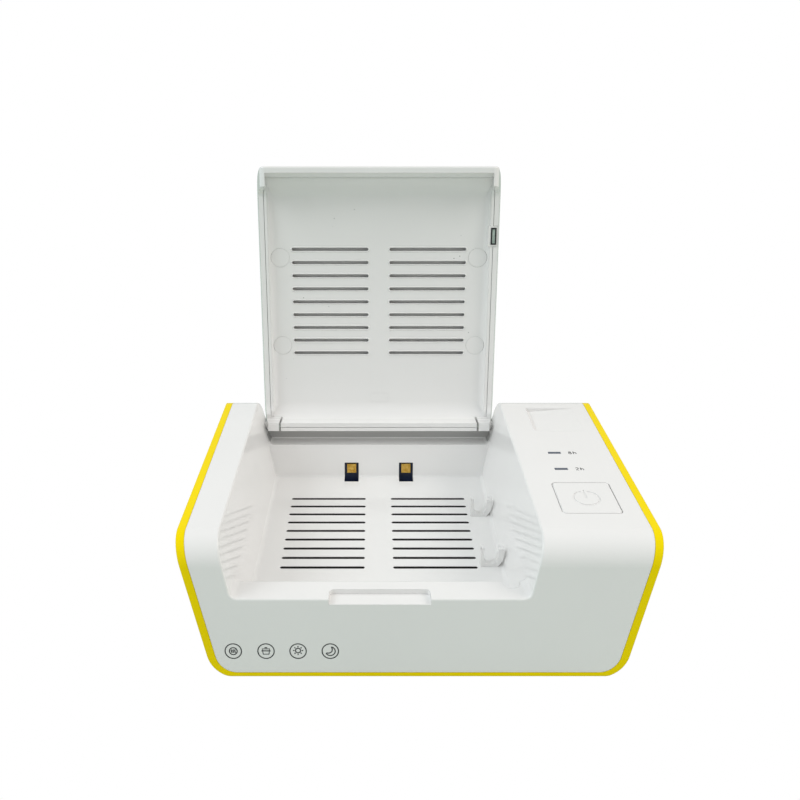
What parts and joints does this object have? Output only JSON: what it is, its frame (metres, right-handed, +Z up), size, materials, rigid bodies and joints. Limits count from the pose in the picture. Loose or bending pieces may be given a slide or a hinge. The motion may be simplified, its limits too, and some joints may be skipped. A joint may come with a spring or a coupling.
{
  "type": "hearing aid dryer",
  "caption": "Table-top hearing aid dryer: white housing with a slotted drying chamber under a hinged lid, yellow wrap-around base, square power button and battery tray.",
  "frame": {"origin": "under the middle of the housing, on the plane that it stands on", "axes": "+X to the user's right, +Y to the hinge at the back, +Z up"},
  "size_m": [0.142, 0.1295, 0.1313],
  "materials": {
    "white_gloss": "gloss",
    "yellow_gloss": "gloss",
    "rubber_black": "matt",
    "steel": "plain",
    "black_plastic": "satin",
    "smoked_lens": "translucent",
    "lamp_white": "satin",
    "board_green": "solder mask",
    "board_navy": "solder mask",
    "gold": "plated",
    "sensor_glass": "clear",
    "wire_red": "insulation",
    "wire_white": "insulation",
    "plate": "black anodised",
    "heater_body": "satin"
  },
  "bodies": {
    "housing": {"base_shell": "yellow_gloss", "upper_housing": "white_gloss", "rubber_feet": "rubber_black", "housing_screws": "steel", "rest_clips": "white_gloss", "tact_switch": "black_plastic", "light_guides": "smoked_lens", "indicator_leds": "lamp_white", "control_board": "board_green", "control_screws": "steel", "lid_sensor": "sensor_glass", "main_board": "board_green", "main_screws": "steel", "board_parts": "black_plastic", "connectors": "lamp_white", "link_cable": "wire_white", "power_inlet": "black_plastic", "heater_plate": "plate", "heater_screws": "steel", "ptc_heater": "heater_body", "thermal_fuse": "heater_body", "thermistor": "heater_body", "heater_leads": "wire_red", "lamp_board": "board_navy", "uv_lamps": "gold", "lamp_leads": "wire_white"},
    "lid": {"lid_cover": "white_gloss", "lid_liner": "white_gloss", "lid_screws": "steel", "screw_caps": "white_gloss", "magnet_frame": "black_plastic", "lid_magnet": "steel"},
    "button": {"power_button": "white_gloss", "switch_plunger": "black_plastic"}
  },
  "joints": [
    {"name": "lid_hinge", "type": "hinge", "parent": "housing", "child": "lid", "pos_m": [-0.0113, 0.0504, 0.0328], "axis": [1, 0, 0], "range_deg": [0, 100]},
    {"name": "power_button", "type": "slide", "parent": "housing", "child": "button", "axis": [0, 0, -1], "range_m": [0, 0.0005], "stiffness_N_per_m": 1200, "springref_m": -0.0004}
  ]
}
